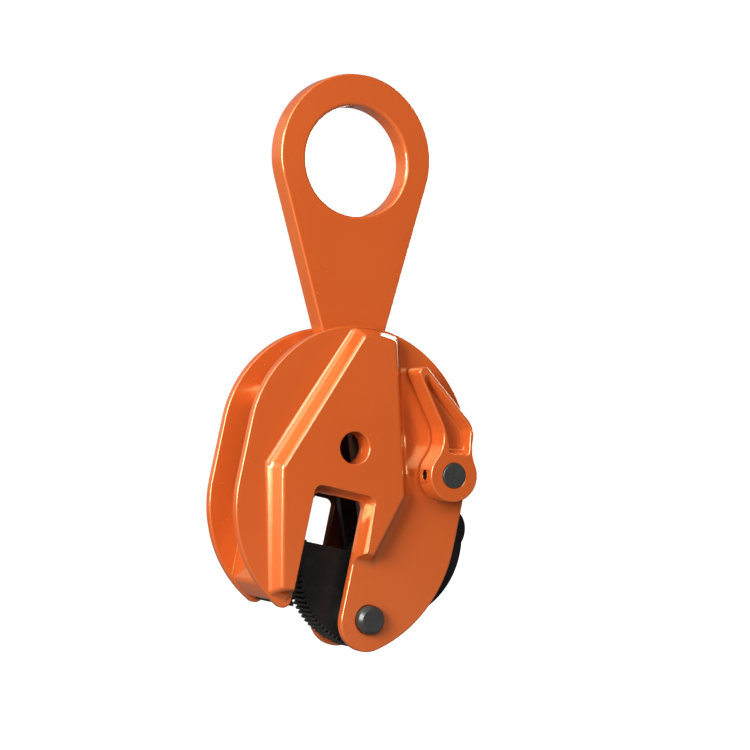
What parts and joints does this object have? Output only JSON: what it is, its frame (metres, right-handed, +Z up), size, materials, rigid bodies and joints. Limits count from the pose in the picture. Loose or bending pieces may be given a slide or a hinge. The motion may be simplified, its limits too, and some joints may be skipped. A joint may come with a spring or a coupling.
{
  "type": "vertical plate lifting clamp",
  "caption": "Plate lifting clamp: an eye shackle pulls a link that swings a toothed cam against a fixed jaw pad between two painted steel cheeks, with a side lock lever.",
  "frame": {"origin": "centre of the lifting eye, at the shackle plate's mid thickness", "axes": "+Z up along the shackle to its eye; +Y along the lifting eye, from the lock lever's side to the back; +X to the right seen from the lock lever's side"},
  "size_m": [0.1673, 0.0765, 0.3635],
  "materials": {
    "orange_paint": "gloss orange paint over steel plate",
    "black_oxide": "hardened steel, blackened, slight sheen",
    "bright_steel": "plain zinc plated steel",
    "bronze": "plain sintered bronze"
  },
  "bodies": {
    "shackle": {"shackle": "orange_paint"},
    "shackle_pin": {"shackle_pin": "black_oxide"},
    "housing": {"front_cheek": "orange_paint", "rear_cheek": "orange_paint", "front_plate": "orange_paint", "rear_plate": "orange_paint", "front_weld": "orange_paint", "rear_weld": "orange_paint", "jaw_block": "orange_paint", "jaw_pad": "black_oxide", "jaw_pad_pin": "bright_steel", "spacer_left": "orange_paint", "spacer_right": "orange_paint", "cam_pin": "black_oxide", "cam_pin_ring": "black_oxide", "front_collar": "bright_steel", "rear_collar": "bright_steel", "lever_boss": "orange_paint", "lever_washer": "bright_steel", "lever_stops": "bright_steel", "tension_spring": "bright_steel"},
    "cam": {"toothed_cam": "black_oxide", "cam_bush": "bronze", "spring_pin": "bright_steel"},
    "links": {"front_link": "black_oxide", "rear_link": "black_oxide", "link_pin": "bright_steel"},
    "lock_lever": {"lock_lever": "orange_paint", "lever_shaft": "black_oxide", "lever_roll_pin": "black_oxide", "spring_crank": "black_oxide"}
  },
  "joints": [
    {"name": "shackle_swing", "type": "hinge", "parent": "shackle", "child": "shackle_pin", "pos_m": [0, 0, -0.13], "axis": [0, 1, 0], "range_deg": [-46, 23]},
    {"name": "shackle_travel", "type": "slide", "parent": "shackle_pin", "child": "housing", "axis": [0.2054, 0, 0.9787], "range_m": [0, 0.0307]},
    {"name": "jaw_open", "type": "hinge", "parent": "housing", "child": "cam", "pos_m": [0.00594, 0, -0.28819], "axis": [0, 1, 0], "range_deg": [0, 50], "deforming": ["tension_spring"]},
    {"name": "link_turn", "type": "hinge", "parent": "cam", "child": "links", "pos_m": [0.01728, 0, -0.25215], "axis": [0, 1, 0], "range_deg": [-65, 0]},
    {"name": "lock_turn", "type": "hinge", "parent": "housing", "child": "lock_lever", "pos_m": [0.05532, 0, -0.1975], "axis": [0, 1, 0], "range_deg": [0, 100], "deforming": ["tension_spring"]}
  ],
  "couplings": [
    {"joint": "jaw_open", "follows": "shackle_travel", "rad_per_m": 28.425},
    {"joint": "link_turn", "follows": "shackle_travel", "rad_per_m": -36.725}
  ]
}
